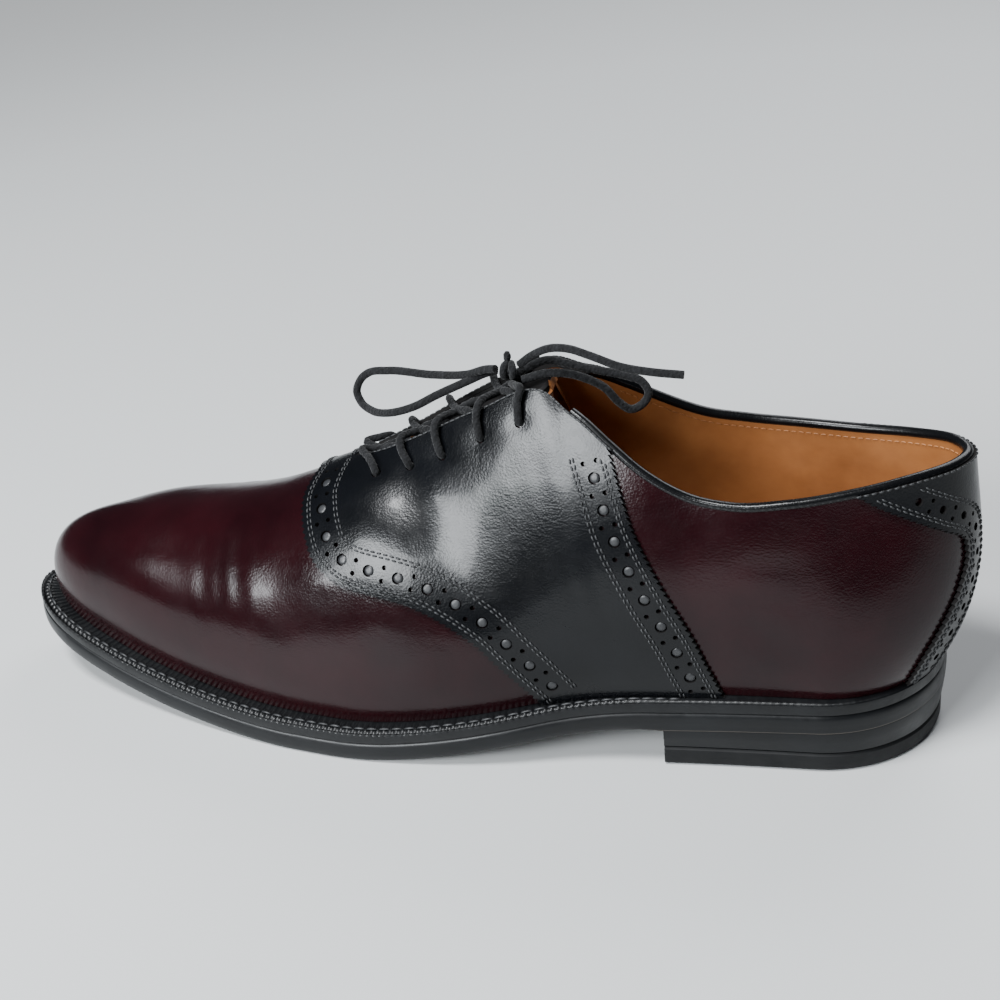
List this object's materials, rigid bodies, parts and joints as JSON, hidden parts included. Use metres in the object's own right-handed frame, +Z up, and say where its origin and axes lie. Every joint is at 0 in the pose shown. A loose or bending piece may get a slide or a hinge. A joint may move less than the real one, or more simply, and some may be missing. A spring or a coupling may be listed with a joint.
{
  "type": "saddle shoe",
  "caption": "Left men's saddle shoe in dark burgundy leather with a black perforated saddle and back strap, laced and tied, on a black welted sole with a stacked heel.",
  "frame": {"origin": "on the floor under the middle of the heel", "axes": "+Z up, toe towards -X, outer side towards -Y"},
  "size_m": [0.3205, 0.1055, 0.1267],
  "materials": {
    "burgundy_leather": "polished",
    "black_leather": "polished",
    "strap_leather": "polished",
    "binding_leather": "satin",
    "tongue_leather": "matte",
    "insole_leather": "matte",
    "welt_leather": "matte",
    "sole_leather": "satin",
    "stack_leather": "satin",
    "top_lift_rubber": "matte",
    "lace_cord": "matte"
  },
  "bodies": {
    "root": {"upper": "burgundy_leather", "saddle": "black_leather", "backstay": "strap_leather", "collar_binding": "binding_leather", "tongue": "tongue_leather", "insole": "insole_leather", "welt": "welt_leather", "outsole": "sole_leather", "heel_stack": "stack_leather", "toplift": "top_lift_rubber", "lace_cross_1": "lace_cord", "lace_cross_2": "lace_cord", "lace_cross_3": "lace_cord", "lace_cross_4": "lace_cord", "lace_top": "lace_cord", "lace_knot": "lace_cord", "lace_loop_front": "lace_cord", "lace_loop_back": "lace_cord", "lace_end_long": "lace_cord", "lace_end_short": "lace_cord"}
  },
  "joints": []
}
